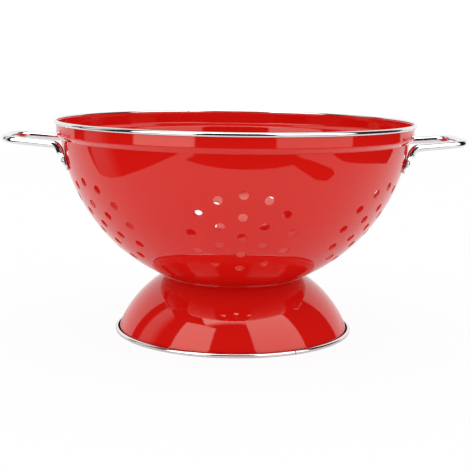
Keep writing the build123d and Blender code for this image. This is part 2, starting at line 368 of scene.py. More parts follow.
def rivet_seats(bowl, handles):
    """The four seats of the handles' ends, by the names of the rivets that sit there."""
    radius, centre = bowl_sphere(bowl)
    lean = leg_lean(bowl, handles)
    spread = math.asin(handles.wall_spread / 2 / (radius * math.cos(lean)))
    turns = {
        "rivet_right_front": -spread,
        "rivet_right_back": spread,
        "rivet_left_front": math.pi + spread,
        "rivet_left_back": math.pi - spread,
    }
    return {
        name: wall_seat(turn, lean, radius + handles.seat_gap, centre) for name, turn in turns.items()
    }


# The rings of a hole group: how many holes each has, and the first one's angle in degrees
HOLE_RINGS = ((1, 0.0), (6, 30.0), (12, 0.0))
# Each group's turn about the axis and its drop below level from the sphere's centre, in degrees
HOLE_GROUPS = (
    (29.3, 35.4), (88.5, 35.4), (148.7, 35.0), (208.9, 34.9), (270.9, 35.1), (330.6, 35.4), (0, 90),
)


def drain_axes(bowl):
    """Unit directions of the drain holes from the sphere's centre.

    Six groups stand round the bowl, not quite evenly, and one at its bottom. A group is one hole,
    a ring of six and a ring of twelve, at even angles round its middle and an arc's length apart.
    """
    radius, centre = bowl_sphere(bowl)
    axes = []
    for group_turn, drop in HOLE_GROUPS:
        level, uphill, out = wall_seat(math.radians(group_turn), math.radians(drop), radius, centre)[1:]
        for ring, (count, first) in enumerate(HOLE_RINGS):
            lean = ring * bowl.hole_spacing / radius
            turn = (math.radians(first) + 2 * math.pi * np.arange(count) / count)[:, None]
            axes.append(out * math.cos(lean) + round_about(level, uphill, turn) * math.sin(lean))
    return np.concatenate(axes)


# An axis whose upright part is larger than this takes its side directions from X, not from Z
NEAR_UPRIGHT = 0.9


def across_axes(axes):
    """Two unit directions square to each axis and to each other."""
    helper = np.where(np.abs(axes[:, 2:]) < NEAR_UPRIGHT, [[0.0, 0.0, 1.0]], [[1.0, 0.0, 0.0]])
    first = np.cross(helper, axes)
    first /= np.linalg.norm(first, axis=1, keepdims=True)
    return first, np.cross(axes, first)


# Bowl

# Points round the object, round a hole and across a lip's quarter circle
ROUND_STEPS = 512
HOLE_STEPS = 28
LIP_STEPS = 4
# Rings of points round each hole that keep the sheet's triangles even, in mouth radii
GUARD_RINGS = (1.22, 1.6)
# Distance between the points that fill the sheet, and in such steps how far they keep from the
# guard rings and from the sheet's edge
SHEET_STEP = 0.0034
GUARD_CLEARANCE = 0.45
EDGE_CLEARANCE = 0.6
# A triangle nearer to a hole's axis than this share of its mouth spans the hole
OPEN_SHARE = 0.999
# Points nearer than this in the flat map would be one point
SAME_POINT = 1e-9
# How far down the sphere the sheet's edge lies from the shoulder's foot
SHEET_EDGE_DROP = 0.0025
# Points of each bend of the collar, from the shoulder's foot over the flange and down inside
COLLAR_BEND_STEPS = [7, 7, 3, 3, 3, 6, 7, 7]
# The flange's own corners, in wall thicknesses
FLANGE_CORNER = 0.4
# How much of the edge's deep red a hole's mouth has, where its lip has 1
MOUTH_DEPTH = 0.35


def hole_rings(axes, radii, lip, outer, inner, centre):
    """The rounded edge of each hole as rings of points, and their normals.

    Round a hole's axis the outline is a quarter circle from the outer sphere down into the
    hole, the hole's straight side, and a quarter circle out to the inner sphere.
    """
    first, second = across_axes(axes)
    radial = round_about(first[:, None], second[:, None], ring_turns(HOLE_STEPS)[:, None])[:, None]
    lean = np.linspace(0, math.pi / 2, LIP_STEPS)
    mouth = (radii + lip)[:, None]
    outer_top, inner_top = np.sqrt(outer ** 2 - mouth ** 2), np.sqrt(inner ** 2 - mouth ** 2)
    reach = np.concatenate([mouth - lip * np.sin(lean), mouth - lip * np.cos(lean)], axis=1)
    height = np.concatenate(
        [outer_top - lip + lip * np.cos(lean), inner_top + lip - lip * np.sin(lean)], axis=1
    )
    tilt = np.concatenate([lean, lean + math.pi / 2])[:, None, None]
    out = axes[:, None, None, :]
    points = height[:, :, None, None] * out + reach[:, :, None, None] * radial
    points[..., 2] += centre
    return points, np.cos(tilt) * out - np.sin(tilt) * radial


def guard_points(axes, mouths, radius):
    """Unit directions in rings round each hole, every second ring turned by half a step."""
    first, second = across_axes(axes)
    rings = []
    for index, grow in enumerate(GUARD_RINGS):
        turn = ring_turns(HOLE_STEPS) + math.pi / HOLE_STEPS * (index % 2)
        lean = (mouths * grow / radius)[:, None, None]
        radial = round_about(first[:, None], second[:, None], turn[:, None])
        rings.append((axes[:, None] * np.cos(lean) + radial * np.sin(lean)).reshape(-1, 3))
    return np.concatenate(rings)


def fill_points(axes, mouths, radius, edge_angle):
    """Unit directions that fill the sphere below an angle, even in area and clear of the holes.

    They lie on a spiral whose height falls evenly and whose turn is the golden angle a step.
    """
    low = math.cos(edge_angle)
    count = int(2 * math.pi * (1 - low) * (radius / SHEET_STEP) ** 2)
    height = 1 - (1 - low) * (np.arange(count) + 0.5) / count
    turn = np.arange(count) * math.pi * (3 - math.sqrt(5))
    reach = np.sqrt(1 - height ** 2)
    spots = np.stack([reach * np.cos(turn), reach * np.sin(turn), -height], axis=1)
    apart = np.arccos(np.clip(spots @ axes.T, -1, 1)) * radius
    clear = (apart > mouths[None, :] * GUARD_RINGS[-1] + SHEET_STEP * GUARD_CLEARANCE).all(axis=1)
    margin = np.arccos(np.clip(height, -1, 1)) < edge_angle - EDGE_CLEARANCE * SHEET_STEP / radius
    return spots[clear & margin]


def flat_map(directions):
    """Stereographic map from straight down, which keeps circles round: twice the tangent of half
    the angle."""
    return directions[:, :2] * (2 / (1 - directions[:, 2]))[:, None]


def sheet_faces(spots, edge_start, axes, mouths, radius):
    """Triangles of the perforated sheet, seen from inside the bowl, without those that span a hole."""
    rings = np.arange(len(axes) * HOLE_STEPS).reshape(-1, HOLE_STEPS)
    rim = np.arange(edge_start, edge_start + ROUND_STEPS)
    edges = np.concatenate([
        np.stack([ring, np.roll(ring, -1, axis=-1)], axis=-1).reshape(-1, 2) for ring in (rings, rim)
    ])
    found = delaunay_2d_cdt(flat_map(spots).tolist(), edges.tolist(), [], 0, SAME_POINT)
    faces = np.array([face for face in found[2] if len(face) == 3])
    middle = spots[faces].mean(axis=1)
    middle /= np.linalg.norm(middle, axis=1, keepdims=True)
    apart = np.arccos(np.clip(middle @ axes.T, -1, 1)) * radius
    return faces[(apart > mouths[None, :] * OPEN_SHARE).all(axis=1)]


def collar_profile(bowl, beads, edge_angle):
    """The bowl's edge as (radius, height), from the outer sphere up, over the flange and down inside."""
    radius, centre = bowl_sphere(bowl)
    wall = bowl.wall

    def on_sphere(sphere_radius, turn):
        """A place on a sphere by its angle from straight down: radius times its sine, and the
        centre's height less radius times its cosine."""
        return sphere_radius * math.sin(turn), centre - sphere_radius * math.cos(turn)

    collar = RIM_RADIUS - beads.rim_stand_out
    collar_foot = (collar, TOP - bowl.collar_depth)
    shoulder_drop = TOP - collar_foot[1] + bowl.shoulder_step + bowl.centre_above_rim
    shoulder_angle = math.acos(shoulder_drop / radius)
    shoulder_foot = on_sphere(radius, shoulder_angle)
    flange = RIM_RADIUS - beads.rim_flange_gap
    flange_top = TOP - (RIM_BEAD_HEIGHT - wall) / 2
    slope = np.subtract(collar_foot, shoulder_foot)
    slope_side = np.array([slope[1], -slope[0]]) / np.linalg.norm(slope)
    sphere_side = (math.sin(shoulder_angle), -math.cos(shoulder_angle))
    corners = [
        on_sphere(radius, edge_angle),
        shoulder_foot,
        collar_foot,
        (collar, flange_top - wall),
        (flange, flange_top - wall),
        (flange, flange_top),
        (collar - wall, flange_top),
        inside_corner(collar_foot, slope_side, (1, 0), wall),
        inside_corner(shoulder_foot, sphere_side, slope_side, wall),
        on_sphere(radius - wall, edge_angle),
    ]
    edge = wall * FLANGE_CORNER
    bends = [
        bowl.shoulder_foot_bend, bowl.shoulder_top_bend, edge, edge, edge, wall,
        bowl.shoulder_top_bend - wall, bowl.shoulder_foot_bend + wall,
    ]
    return fillet_line(corners, bends, COLLAR_BEND_STEPS)


def build_bowl(bowl, beads, handles, material):
    """The perforated sheet inside and out, the holes' rounded edges, and the collar with its flange.

    The outer and the inner sheet share their triangles. The points are numbered as the outer
    sheet, the inner sheet, the holes' sides and the collar, and each sheet begins with its
    holes' mouths.
    """
    radius, centre = bowl_sphere(bowl)
    inner = radius - bowl.wall
    drains = drain_axes(bowl)
    rivets = np.array([seat[3] for seat in rivet_seats(bowl, handles).values()])
    axes = np.concatenate([drains, rivets])
    bores = np.repeat([bowl.hole / 2, handles.shank / 2], [len(drains), len(rivets)])
    mouths = bores + bowl.hole_lip
    shoulder_drop = bowl.collar_depth + bowl.shoulder_step + bowl.centre_above_rim
    edge_angle = math.acos(shoulder_drop / radius) - SHEET_EDGE_DROP / radius
    turns = ring_turns(ROUND_STEPS)

    lips, lip_normals = hole_rings(axes, bores, bowl.hole_lip, radius, inner, centre)
    mouth_spots = lips[:, 0].reshape(-1, 3) - [0, 0, centre]
    mouth_spots /= np.linalg.norm(mouth_spots, axis=1, keepdims=True)
    guard_spots = guard_points(axes, mouths, radius)
    edge_side = [math.sin(edge_angle), -math.cos(edge_angle)]
    edge_spots = spun(np.array([edge_side]), turns)[0]
    fill = fill_points(axes, mouths, radius, edge_angle)
    spots = np.concatenate([mouth_spots, guard_spots, edge_spots, fill])
    mouth_count, sheet_size = len(mouth_spots), len(spots)
    edge_start = mouth_count + len(guard_spots)
    faces = sheet_faces(spots, edge_start, axes, mouths, radius)
    outer_sheet, inner_sheet = (spots * reach + [0, 0, centre] for reach in (radius, inner))
    outer_sheet[:mouth_count] = lips[:, 0].reshape(-1, 3)
    inner_sheet[:mouth_count] = lips[:, -1].reshape(-1, 3)

    between = lips[:, 1:-1].reshape(-1, 3)
    lip_start = 2 * sheet_size
    mouth_numbers = np.arange(mouth_count).reshape(len(axes), 1, HOLE_STEPS)
    side_numbers = lip_start + np.arange(len(between)).reshape(len(axes), -1, HOLE_STEPS)
    lip_quads = ring_quads(
        np.concatenate([mouth_numbers, side_numbers, sheet_size + mouth_numbers], axis=1)
    )

    profile = collar_profile(bowl, beads, edge_angle)
    side = outline_normals(profile)
    side[0] = edge_side
    side[-1] = -side[0]
    collar, collar_normals = (spun(line, turns)[1:-1].reshape(-1, 3) for line in (profile, side))
    collar_start = lip_start + len(between)
    edge_numbers = edge_start + np.arange(ROUND_STEPS)[None, :]
    collar_numbers = collar_start + np.arange(len(collar)).reshape(-1, ROUND_STEPS)
    collar_quads = ring_quads(
        np.concatenate([edge_numbers, collar_numbers, sheet_size + edge_numbers])
    )

    points = np.concatenate([outer_sheet, inner_sheet, between, collar])
    normals = np.concatenate([
        spots, -spots, lip_normals[:, 1:-1].reshape(-1, 3), collar_normals
    ])
    depth = np.zeros(len(points))
    depth[:mouth_count] = depth[sheet_size:sheet_size + mouth_count] = MOUTH_DEPTH
    depth[lip_start:collar_start] = 1
    return add_piece(
        "enamelled_bowl", points, [faces[:, ::-1], faces + sheet_size, lip_quads, collar_quads],
        material, ["bowl"], normals=normals, masks={"edge": depth},
    )


# Foot

# Points of each arc of the foot's outline
FLANGE_STEPS = 8
RUN_STEPS = 10
NECK_STEPS = 8
FLARE_STEPS = 44
DROP_STEPS = 6
FOOT_EDGE_STEPS = 4
# The outer bend down to the edge flange and the rounding of the sheet's edges, in wall thicknesses
DROP_BEND = 0.2
FOOT_EDGE_ROUND = 0.25


def foot_profile(bowl, foot, beads):
    """The foot's outer and inner face as lines of (radius, height), from the weld flange outwards.

    The outer face runs under the sphere, through the hollow that the enamel makes between sphere
    and flare, down the flare's arc and along the edge flange. The inner face runs beside it, one
    wall's thickness inside, with the sheet's own bend at the neck.
    """
    radius, centre = bowl_sphere(bowl)
    wall = foot.wall
    seat = radius + foot.seat_gap
    sphere_centre = (0, centre)
    neck = (foot.neck, centre - math.sqrt(seat ** 2 - foot.neck ** 2))
    edge = (BASE_RADIUS - beads.base_stand_out, BASE_BEAD_HEIGHT)
    chord = np.subtract(edge, neck)
    span = np.linalg.norm(chord)
    inward = np.array([chord[1], -chord[0]]) / span
    dome_centre = np.add(neck, edge) / 2 + inward * math.sqrt(foot.dome ** 2 - (span / 2) ** 2)
    bend_centre = circles_meet(
        dome_centre, foot.dome - foot.neck_bend, sphere_centre, seat + foot.neck_bend
    )
    run_centre = circles_meet(
        dome_centre, foot.dome + foot.enamel_run, sphere_centre, seat + foot.enamel_run
    )
    down = -math.pi / 2
    flange_start = down + math.asin((foot.neck - foot.weld_flange) / seat)
    dome_stop = math.atan2(edge[1] - dome_centre[1], edge[0] - dome_centre[0])
    flange_reach = BASE_RADIUS - beads.base_flange_gap

    def face(inset, corner_centre, corner_radius, half_turn, corner_steps):
        """One face of the sheet, inset from the outer one, with its corner at the neck.

        The hollow of the enamel has a negative radius, and the bend of the sheet starts half a
        turn on instead.
        """
        to_corner = math.atan2(corner_centre[0], centre - corner_centre[1])
        dome_start = math.atan2(*(corner_centre - dome_centre)[::-1])
        flange_top = (BASE_BEAD_HEIGHT + wall) / 2 - inset
        under = arc(sphere_centre, seat + inset, flange_start, down + to_corner, FLANGE_STEPS)
        corner = arc(corner_centre, corner_radius, down + to_corner + half_turn, dome_start, corner_steps)
        flare = arc(dome_centre, foot.dome - inset, dome_start, dome_stop, FLARE_STEPS)
        drop = fillet_line(
            [flare[-1], (edge[0] - inset, flange_top), (flange_reach, flange_top)],
            [wall * DROP_BEND + inset], DROP_STEPS,
        )
        return np.concatenate([under, corner[1:], flare[1:], drop[1:]])

    return (
        face(0, run_centre, -foot.enamel_run, 0, RUN_STEPS),
        face(wall, bend_centre, foot.neck_bend - wall, math.pi, NECK_STEPS),
    )


def build_foot(bowl, foot, beads, material):
    """The foot's closed outline carried round the axis, painted dark down in the crevice beside its roll:
    painted shade, with the bare dark steel of the sheet's edge.
    """
    outer, inner = foot_profile(bowl, foot, beads)
    edge_round = foot.wall * FOOT_EDGE_ROUND
    ends = [
        fillet_line(corners, [edge_round, edge_round], FOOT_EDGE_STEPS)[1:-1]
        for corners in (
            [outer[-2], outer[-1], inner[-1], inner[-2]],
            [inner[1], inner[0], outer[0], outer[1]],
        )
    ]
    outline = np.concatenate([outer[1:-1], ends[0], inner[-2:0:-1], ends[1]])
    turns = ring_turns(ROUND_STEPS)
    points = spun(outline, turns)
    # The enamel run's thin edge, where the outline turns back, takes the normal of its open side
    before, after = outline - np.roll(outline, 1, axis=0), np.roll(outline, -1, axis=0) - outline
    turns_back = (before * after).sum(axis=1, keepdims=True) < 0
    run = np.where(turns_back, after, before + after)
    side = np.stack([-run[:, 1], run[:, 0]], axis=1)
    side /= np.linalg.norm(side, axis=1, keepdims=True)
    normals = spun(side, turns)
    quads = grid_quads(len(outline), ROUND_STEPS, close_rows=True)[:, ::-1]
    # A mask of painted shade, with the bare dark steel of the sheet's edge: full below the roll's top, just
    # inside the drop
    past_drop = outline[:, 0] - (BASE_RADIUS - beads.base_stand_out)
    below_roll = BASE_BEAD_HEIGHT - outline[:, 1]
    dark = np.clip(past_drop / foot.shade_start + 1, 0, 1) * np.clip(below_roll / foot.shade_depth, 0, 1)
    shade = np.broadcast_to(dark[:, None], points.shape[:2]).ravel()
    return add_piece(
        "enamelled_foot", points.reshape(-1, 3), [quads], material, ["foot"],
        normals=normals.reshape(-1, 3), masks={"shade": shade},
    )


# Beads

# Sections round a bead, and points of each bend of a section
BEAD_STEPS = 720
BEAD_BEND_STEPS = 7
# The slot's corners are this part of the thickness that the closed side has under the slot, and
# the closed side's own bend takes all of it but this many such corners
SLOT_CORNER_PARTS = 6
CLOSED_SIDE_CORNERS = 1.5
# How far the cut ends are drawn in, as a share of their rounding
DRAWN_IN = 0.6


def bead_sizes(beads, prefix):
    """One bead's own sizes, by their names without its prefix."""
    names = ("stand_out", "overlap", "flange_gap", "flat", "inner_bend", "crevice")
    return {name: getattr(beads, f"{prefix}_{name}") for name in names}


def bead_outline(
    outer, base, rise, wall, fit, stand_out, overlap, flange_gap, flat, inner_bend, crevice
):
    """A rolled strip's section of (radius, height): a rounded bar with a slot for wall and flange.

    It starts at the closed side, at the base height, and rise counts from there towards the side
    that the wall comes from. Beside the wall the slot reaches past the wall's outer face by the
    crevice. Past the wall's end it holds the edge flange at mid height, with the fit all round.
    """
    way, height = math.copysign(1, rise), abs(rise)
    high = base + rise
    inner = outer - stand_out - overlap
    slot_wall, slot_flange = outer - stand_out + crevice, outer - flange_gap + fit
    slot_near, slot_far = (height - wall) / 2 - fit, (height + wall) / 2 + fit
    outside = (height - flat) / 2
    small = slot_near / SLOT_CORNER_PARTS
    closed_bend = slot_near - small * CLOSED_SIDE_CORNERS
    closed_middle = ((inner + closed_bend + outer - outside) / 2, base)
    corners = [
        closed_middle,
        (outer, base),
        (outer, high),
        (slot_wall, high),
        (slot_wall, base + way * slot_far),
        (slot_flange, base + way * slot_far),
        (slot_flange, base + way * slot_near),
        (inner, base + way * slot_near),
        (inner, base),
        closed_middle,
    ]
    bends = [outside, outside, inner_bend, small, small, small, small, closed_bend]
    outline = fillet_line(corners, bends, BEAD_BEND_STEPS)[:-1]
    return outline[::-1] if way > 0 else outline


def build_bead(name, node, outline, seam_at, beads, material):
    """A strip's section carried round from one side of its butt seam to the other.

    At each cut end a bevelled face closes it: the section there is drawn in towards its own line
    by part of the seam's rounding.
    """
    outer = outline[:, 0].max()
    half_gap = beads.seam / 2 / outer
    ease = beads.seam_round / outer
    closed = np.concatenate([outline[-1:], outline, outline[:1]])
    drawn_in = outline + outline_normals(closed)[1:-1] * (beads.seam_round * DRAWN_IN)
    body = np.linspace(half_gap + ease, 2 * math.pi - half_gap - ease, BEAD_STEPS)
    turns = seam_at + np.concatenate([[half_gap], body, [2 * math.pi - half_gap]])
    points = spun(outline, turns).transpose(1, 0, 2).copy()
    points[[0, -1]] = spun(drawn_in, turns[[0, -1]]).transpose(1, 0, 2)
    rows, columns = points.shape[:2]
    uv = np.stack(np.meshgrid(turns * outer, distance_along(outline), indexing="ij"), axis=2)
    return add_piece(
        name, points.reshape(-1, 3), [grid_quads(rows, columns)], material, [node],
        caps=end_caps(rows, columns), uv=uv.reshape(-1, 2),
    )


# Handles

SECTION_STEPS = 48
# Rings of a flattened end: round its tip, along its straight sides and in its swell
TIP_RINGS = 22
STRAIGHT_RINGS = 8
SWELL_RINGS = 14
# The first ring stands this far round the tip, in radians, so that it isn't a point
TIP_START = 0.02
# Points of each bend of the rod's line, and rings spread evenly along the front half of a rod
BEND_STEPS = 26
ROD_RINGS = 120


def paddle_half_thickness(handles, edge_distance):
    """Half the flat end's thickness at a distance from its edge: a quarter ellipse, then flat."""
    share_in = np.clip(edge_distance / handles.paddle_round, 0, 1)
    return handles.paddle_thickness / 2 * np.sqrt(1 - (1 - share_in) ** 2)


def smooth_step(value):
    """Rises from 0 to 1 with level ends."""
    value = np.clip(value, 0, 1)
    return value * value * (3 - 2 * value)


def flat_end_rings(handles, rod_end, seat):
    """Rings of the flattened end, from its round tip up to where it is the round rod.

    Below the swell the outline is a half circle and straight sides, and the thickness at a point
    follows its distance from that outline. In the swell the ring passes smoothly to a circle.
    """
    origin, level, uphill, out = seat
    half_width = handles.paddle_width / 2
    cap_middle = half_width - handles.paddle_tip
    cap = cap_middle - half_width * np.cos(np.linspace(TIP_START, math.pi / 2, TIP_RINGS))
    straight = np.linspace(cap_middle, handles.paddle_top, STRAIGHT_RINGS)[1:]
    swell = np.linspace(handles.paddle_top, rod_end, SWELL_RINGS)[1:]
    stations = np.concatenate([cap, straight, swell])
    turn = ring_turns(SECTION_STEPS)
    below = np.minimum(stations - cap_middle, 0)
    width = np.sqrt(np.maximum(half_width ** 2 - below ** 2, 0))
    across = width[:, None] * np.cos(turn)
    edge_distance = np.where(
        below[:, None] < 0, half_width - np.hypot(across, below[:, None]), half_width - np.abs(across)
    )
    # The two points level with the middle lie on the outline, where there is no thickness
    thick = paddle_half_thickness(handles, edge_distance) * np.sign(np.round(np.sin(turn), 9))
    grow = smooth_step((stations - handles.paddle_top) / (rod_end - handles.paddle_top))[:, None]
    rod_radius = handles.rod / 2
    across = across * (1 - grow) + rod_radius * np.cos(turn) * grow
    thick = thick * (1 - grow) + rod_radius * np.sin(turn) * grow
    rise = handles.paddle_thickness / 2 * (1 - grow) + rod_radius * grow
    return (
        origin
        + level * across[..., None]
        + uphill * stations[:, None, None]
        + out * (thick + rise)[..., None]
    )


def rod_directions(path, first_side):
    """A path's own directions, and a side direction kept square to them without twisting."""
    run = np.gradient(path, axis=0)
    run /= np.linalg.norm(run, axis=1, keepdims=True)
    sides = [first_side]
    for direction in run[1:]:
        side = sides[-1] - direction * (sides[-1] @ direction)
        sides.append(side / np.linalg.norm(side))
    return run, np.array(sides)


def handle_rings(bowl, handles):
    """Rings of the right handle from its front tip to its back tip, the back half mirrored in Y."""
    seat = rivet_seats(bowl, handles)["rivet_right_front"]
    origin, level, uphill, out = seat
    rod_radius = handles.rod / 2
    leg_turn = math.pi / 2 - leg_lean(bowl, handles) - handles.tilt
    rod_end = handles.leg_above_rivet - handles.leg_bend * math.tan(leg_turn / 2) - handles.rod_end_straight
    start = origin + uphill * rod_end + out * rod_radius
    corner = origin + uphill * handles.leg_above_rivet + out * rod_radius
    bar = HANDLE_REACH - rod_radius
    bar_height = corner[2] + (bar - corner[0]) * math.tan(handles.tilt)
    line = fillet_line(
        [start, corner, (bar, -handles.end_spread / 2, bar_height), (bar, 0, bar_height)],
        [handles.leg_bend, handles.corner], BEND_STEPS,
    )
    steps = distance_along(line)
    even = np.linspace(0, steps[-1], ROD_RINGS)
    path = np.stack([np.interp(even, steps, line[:, axis]) for axis in range(3)], axis=1)
    run, side = rod_directions(path, level)
    # The last ring lies in the mirror plane
    run[-1] = [0, 1, 0]
    side[-1] -= run[-1] * (side[-1] @ run[-1])
    lift = np.cross(side, run) * np.sign(np.dot(np.cross(level, uphill), out))
    turn = ring_turns(SECTION_STEPS)
    circle = (
        side[:, None] * (rod_radius * np.cos(turn))[None, :, None]
        + lift[:, None] * (rod_radius * np.sin(turn))[None, :, None]
    )
    rod = path[:, None] + circle
    front = np.concatenate([flat_end_rings(handles, rod_end, seat), rod[1:]])
    return np.concatenate([front, front[-2::-1] * [1, -1, 1]])


def build_handle(name, node, mirror, bowl, handles, material):
    """A handle's rings joined into a closed skin, its tips closed by one face each."""
    rings = handle_rings(bowl, handles) * [mirror, 1, 1]
    rows, columns = rings.shape[:2]
    faces = [grid_quads(rows, columns), *end_caps(rows, columns)]
    if mirror > 0:
        faces = [group[:, ::-1] for group in faces]
    around = ring_turns(columns) * handles.rod / 2
    uv = np.stack(np.meshgrid(distance_along(rings.mean(axis=1)), around, indexing="ij"), axis=2)
    return add_piece(
        name, rings.reshape(-1, 3), faces, material, [node], uv=uv.reshape(-1, 2)
    )


# Rivets

# Points round a rivet, along its two domes and along each bend
RIVET_STEPS = 40
HEAD_STEPS = 20
TAIL_STEPS = 12
RIVET_BEND_STEPS = 4
# Bends at the tail's rim, the shank's two ends, the head's rim and the edge of its dome
RIVET_BENDS = [0.00005, 0.00008, 0.00008, 0.00012, 0.00025]


def cap_arc(reach, height, base, count):
    """A dome of that reach and height over a base level, from its rim to the axis."""
    radius = (reach ** 2 + height ** 2) / (2 * height)
    tilt = math.asin(reach / radius)
    return arc((0, base + height - radius), radius, math.pi / 2 - tilt, math.pi / 2, count)


def rivet_levels(bowl, handles):
    """Heights over its seat of the undersides of a rivet's tail and head."""
    tail_foot = -(handles.seat_gap + bowl.wall + handles.rivet_gap)
    return tail_foot, handles.paddle_thickness + handles.rivet_gap


def rivet_outline(bowl, handles):
    """A rivet as (distance from its axis, height over its seat): tail, shank, head."""
    tail_foot, head_foot = rivet_levels(bowl, handles)
    land = head_foot + handles.head_land
    dome = cap_arc(handles.head / 2, handles.head_height - handles.head_land, land, HEAD_STEPS)
    tail = cap_arc(handles.tail / 2, handles.tail_height, 0, TAIL_STEPS)
    tail = np.stack([tail[::-1, 0], tail_foot - tail[::-1, 1]], axis=1)
    corners = [
        tail[-2],
        (handles.tail / 2, tail_foot),
        (handles.shank / 2, tail_foot),
        (handles.shank / 2, head_foot),
        (handles.head / 2, head_foot),
        (handles.head / 2, land),
        dome[1],
    ]
    return np.concatenate([tail[1:-2], fillet_line(corners, RIVET_BENDS, RIVET_BEND_STEPS), dome[2:-1]])


def build_rivet(name, seat, bowl, handles, material):
    """A rivet's outline carried round its own axis, with a point at each pole."""
    origin, level, uphill, out = seat
    outline = rivet_outline(bowl, handles)
    reach, height = outline[:, 0][:, None, None], outline[:, 1][:, None, None]
    radial = round_about(level, uphill, ring_turns(RIVET_STEPS)[:, None])
    rings = origin + reach * radial[None] + height * out
    rows = len(outline)
    tail_foot, head_foot = rivet_levels(bowl, handles)
    pole_heights = (tail_foot - handles.tail_height, head_foot + handles.head_height)
    poles = np.array([origin + out * pole_height for pole_height in pole_heights])
    points = np.concatenate([rings.reshape(-1, 3), poles])
    ring = np.arange(RIVET_STEPS)
    after = np.roll(ring, -1)
    last, pole = (rows - 1) * RIVET_STEPS, rows * RIVET_STEPS
    low_fan = np.stack([after, ring, np.full(RIVET_STEPS, pole)], axis=1)
    high_fan = np.stack([last + ring, last + after, np.full(RIVET_STEPS, pole + 1)], axis=1)
    faces = [grid_quads(rows, RIVET_STEPS), low_fan, high_fan]
    return add_piece(name + "_set", points, faces, material, [name])


# Node tools

# Where a colour Mix node keeps its two colours and its result
MIX_FIRST, MIX_SECOND, MIX_RESULT = 6, 7, 2
# Between which values a noise mostly lies
NOISE_LOW, NOISE_HIGH = 0.3, 0.7


def bare_tree(owner):
    """The emptied node tree of a material or a world."""
    owner.use_nodes = True
    owner.node_tree.nodes.clear()
    return owner.node_tree


def add_node(tree, kind, inputs=None, **settings):
    """Adds a node with its settings, and feeds its inputs, which are given by name or number.

    Another node's output is linked to the input. A number, colour or direction is set on it.
    """
    node = tree.nodes.new(kind)
    for name, value in settings.items():
        setattr(node, name, value)
    for label, value in (inputs or {}).items():
        socket = node.inputs[label]
        if isinstance(value, bpy.types.NodeSocket):
            tree.links.new(value, socket)
        else:
            socket.default_value = (*value, 1) if socket.type == "RGBA" else value
    return node


def math_node(tree, operation, *values):
    """A Math node fed by sockets or numbers. Returns its output."""
    return add_node(tree, "ShaderNodeMath", dict(enumerate(values)), operation=operation).outputs[0]


def highest(tree, values):
    """The highest of several values."""
    return reduce(lambda first, second: math_node(tree, "MAXIMUM", first, second), values)


def noise(tree, vector, scale, detail, roughness):
    """A noise over the given coordinates. Returns its value."""
    inputs = {"Vector": vector, "Scale": scale, "Detail": detail, "Roughness": roughness}
    return add_node(tree, "ShaderNodeTexNoise", inputs).outputs["Fac"]


def spread(tree, value, low, high):
    """Maps a noise from where it mostly lies to low..high. Returns the output."""
    inputs = {
        "Value": value, "From Min": NOISE_LOW, "From Max": NOISE_HIGH, "To Min": low, "To Max": high,
    }
    return add_node(tree, "ShaderNodeMapRange", inputs).outputs["Result"]


def bump(tree, height, strength, distance):
    """A Bump node over a height. Returns its normal."""
    inputs = {"Height": height, "Strength": strength, "Distance": distance}
    return add_node(tree, "ShaderNodeBump", inputs).outputs["Normal"]


def mix_colour(tree, factor, first, second):
    """A Mix node between two colours, each a socket or a plain colour. Returns its output."""
    inputs = {"Factor": factor, MIX_FIRST: first, MIX_SECOND: second}
    return add_node(tree, "ShaderNodeMix", inputs, data_type="RGBA").outputs[MIX_RESULT]


def mix_shader(tree, factor, first, second):
    """A Mix Shader node: the first shader where the factor is 0. Returns its output."""
    return add_node(tree, "ShaderNodeMixShader", {0: factor, 1: first, 2: second}).outputs[0]


def new_group(name, inputs):
    """A shader node group with named float inputs at their defaults. Returns it and their sockets."""
    group = bpy.data.node_groups.new(name, "ShaderNodeTree")
    for label, default in inputs.items():
        socket = group.interface.new_socket(name=label, in_out="INPUT", socket_type="NodeSocketFloat")
        socket.default_value = default
    return group, group.nodes.new("NodeGroupInput").outputs


def put_out(group, outputs):
    """Gives a node group its named float outputs. Returns the group."""
    for label in outputs:
        group.interface.new_socket(name=label, in_out="OUTPUT", socket_type="NodeSocketFloat")
    add_node(group, "NodeGroupOutput", outputs)
    return group


# Finishes

# The fine smudges' scale over the coarse ones', and each one's share
FINE_SMUDGES = 11.0
COARSE_SHARE, FINE_SHARE = 0.7, 0.3
# How far smudges and the holes' edges take the enamel towards its deep red
SMUDGE_DEPTH, EDGE_DEPTH = 0.12, 0.6
# The strength of each finish's unevenness, and its height in metres
ENAMEL_BUMP, ENAMEL_SWELL = 0.35, 0.00006
METAL_BUMP, METAL_SWELL = 0.4, 0.00002
ENAMEL_IOR, ENAMEL_GLOSS = 1.5, 0.6
ENAMEL_TINT = (1, 0.84, 0.73)
# A smudged metal's brightness over a clean one's
DULL_SHARE = 0.88
# Each metal's colour among the finishes, its lowest and highest roughness, and its lines' depth
METALS = {
    "bright chrome plate": ("chrome", 0.03, 0.07, 0.04),
    "polished rolled steel": ("steel", 0.06, 0.12, 0.12),
    "tumbled rivet steel": ("chrome", 0.1, 0.2, 0),
}


def handling_group():
    """Faint smudges and wipe marks of a used surface: a mask and a roughness."""
    group, given = new_group(
        "Handling Marks", {"Smudge Scale": 35.0, "Roughness Low": 0.05, "Roughness High": 0.1}
    )
    where = group.nodes.new("ShaderNodeTexCoord").outputs["Object"]
    coarse = noise(group, where, given["Smudge Scale"], detail=4.0, roughness=0.6)
    fine_scale = math_node(group, "MULTIPLY", given["Smudge Scale"], FINE_SMUDGES)
    fine = noise(group, where, fine_scale, detail=3.0, roughness=0.55)
    coarse_part = math_node(group, "MULTIPLY", coarse, COARSE_SHARE)
    mixed = math_node(group, "ADD", coarse_part, math_node(group, "MULTIPLY", fine, FINE_SHARE))
    return put_out(group, {
        "Smudge": spread(group, mixed, 0.0, 1.0),
        "Roughness": spread(group, mixed, given["Roughness Low"], given["Roughness High"]),
    })


